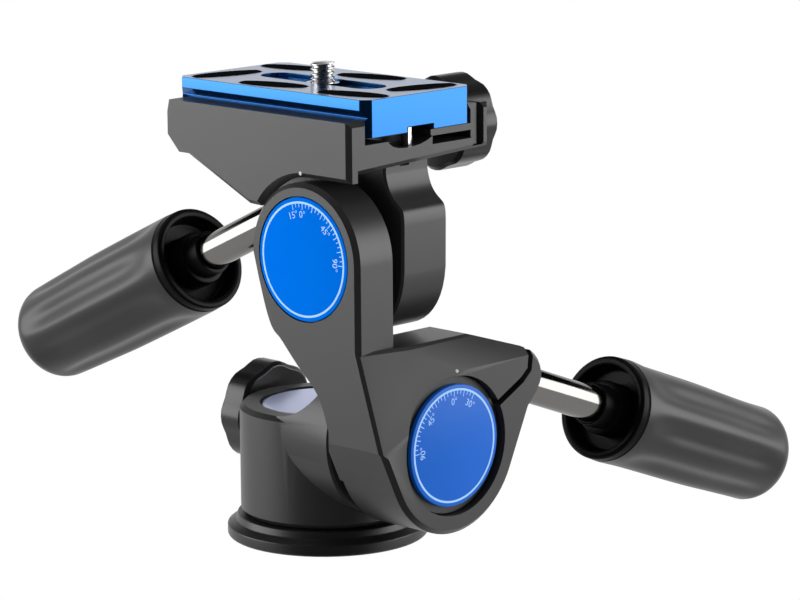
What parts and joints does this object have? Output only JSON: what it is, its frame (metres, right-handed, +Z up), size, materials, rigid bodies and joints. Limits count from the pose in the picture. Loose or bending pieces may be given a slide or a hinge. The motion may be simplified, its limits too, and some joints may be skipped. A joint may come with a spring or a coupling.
{
  "type": "three way pan tilt head",
  "caption": "Tripod head with pan base, side and front tilt joints, rubber-gripped lock handles and a dovetail clamp with a sliding camera plate.",
  "frame": {"origin": "middle of the base flange's underside, at the mouth of the tripod thread", "axes": "+Z up along the pan axis, +X along the side tilt axis towards its dial, +Y along the front tilt axis away from its dial"},
  "size_m": [0.1672, 0.1645, 0.1335],
  "materials": {
    "black_paint": "satin black, fine texture",
    "blue_anodised": "smooth blue anodised",
    "plate_blue": "bright blue anodised",
    "dial_blue": "printed blue face",
    "black_plastic": "moulded, satin",
    "grip_rubber": "soft matte",
    "pad_rubber": "matte",
    "steel": "bright turned",
    "dark_steel": "dark polished",
    "brass": "turned"
  },
  "bodies": {
    "base": {"base_flange": "black_paint", "base_thread_bush": "brass", "pan_retaining_washer": "steel", "pan_retaining_screw": "steel"},
    "pan": {"pan_body": "black_paint", "pan_top_disc": "blue_anodised", "pan_brake_pad": "black_plastic", "tilt_friction_washer": "black_plastic", "tilt_retaining_plate": "black_paint", "tilt_retaining_screw": "steel", "lower_dial": "dial_blue"},
    "pan_lock": {"pan_lock_screw": "steel", "pan_lock_knob": "black_plastic"},
    "arm": {"arm": "black_paint", "upper_dial": "dial_blue", "front_tilt_axle": "black_paint", "front_tilt_axle_screw": "steel", "front_tilt_washer": "steel", "front_tilt_end_screw": "dark_steel"},
    "lower_handle": {"lower_handle_stem": "dark_steel", "lower_handle_collar": "black_plastic", "lower_handle_grip": "grip_rubber"},
    "platform": {"platform": "black_paint", "clamp_guide_pin_front": "steel", "clamp_guide_pin_back": "steel"},
    "upper_handle": {"upper_handle_stem": "dark_steel", "upper_handle_collar": "black_plastic", "upper_handle_grip": "grip_rubber"},
    "jaw": {"clamp_jaw": "black_paint"},
    "clamp_lock": {"clamp_screw": "steel", "clamp_knob": "black_plastic"},
    "safety": {"safety_pin": "steel"},
    "plate": {"quick_release_plate": "plate_blue", "plate_pad_front_end": "pad_rubber", "plate_pad_back_end": "pad_rubber", "plate_pad_near_front": "pad_rubber", "plate_pad_near_back": "pad_rubber", "plate_pad_far_front": "pad_rubber", "plate_pad_far_back": "pad_rubber"},
    "screw_slider": {"camera_screw_clip": "dark_steel"},
    "screw": {"camera_screw": "steel"}
  },
  "joints": [
    {"name": "pan_turn", "type": "hinge", "parent": "base", "child": "pan", "pos_m": [0, 0, 0.03], "axis": [0, 0, 1], "continuous": true},
    {"name": "pan_lock_turn", "type": "hinge", "parent": "pan", "child": "pan_lock", "pos_m": [-0.03, 0.005, 0.0276], "axis": [-1, 0, 0], "range_deg": [0, 360]},
    {"name": "side_tilt", "type": "hinge", "parent": "pan", "child": "arm", "pos_m": [0.03, 0, 0.0309], "axis": [1, 0, 0], "range_deg": [-30, 90]},
    {"name": "lower_handle_turn", "type": "hinge", "parent": "arm", "child": "lower_handle", "pos_m": [0.0364, 0.0435, 0.037], "axis": [0, 0.9348, -0.3551], "range_deg": [0, 360]},
    {"name": "front_tilt", "type": "hinge", "parent": "arm", "child": "platform", "pos_m": [0.0192, 0, 0.0791], "axis": [0, 1, 0], "range_deg": [-15, 90]},
    {"name": "upper_handle_turn", "type": "hinge", "parent": "platform", "child": "upper_handle", "pos_m": [-0.0265, -0.0005, 0.0775], "axis": [-0.9041, 0, -0.4274], "range_deg": [0, 360]},
    {"name": "clamp_jaw_slide", "type": "slide", "parent": "platform", "child": "jaw", "axis": [0, 1, 0], "range_m": [0, 0.0013]},
    {"name": "clamp_knob_turn", "type": "hinge", "parent": "jaw", "child": "clamp_lock", "pos_m": [0.0136, 0.03, 0.1072], "axis": [0, 1, 0], "range_deg": [0, 669]},
    {"name": "safety_pin_press", "type": "slide", "parent": "platform", "child": "safety", "axis": [0, 0, -1], "range_m": [0, 0.0015], "stiffness_N_per_m": 300},
    {"name": "plate_slide", "type": "slide", "parent": "platform", "child": "plate", "axis": [1, 0, 0], "range_m": [0, 0.07]},
    {"name": "camera_screw_slide", "type": "slide", "parent": "plate", "child": "screw_slider", "axis": [1, 0, 0], "range_m": [-0.016, 0.016]},
    {"name": "camera_screw_turn", "type": "hinge", "parent": "screw_slider", "child": "screw", "pos_m": [0, 0, 0.119], "axis": [0, 0, 1], "continuous": true}
  ],
  "couplings": [
    {"joint": "clamp_knob_turn", "follows": "clamp_jaw_slide", "rad_per_m": 8976}
  ]
}
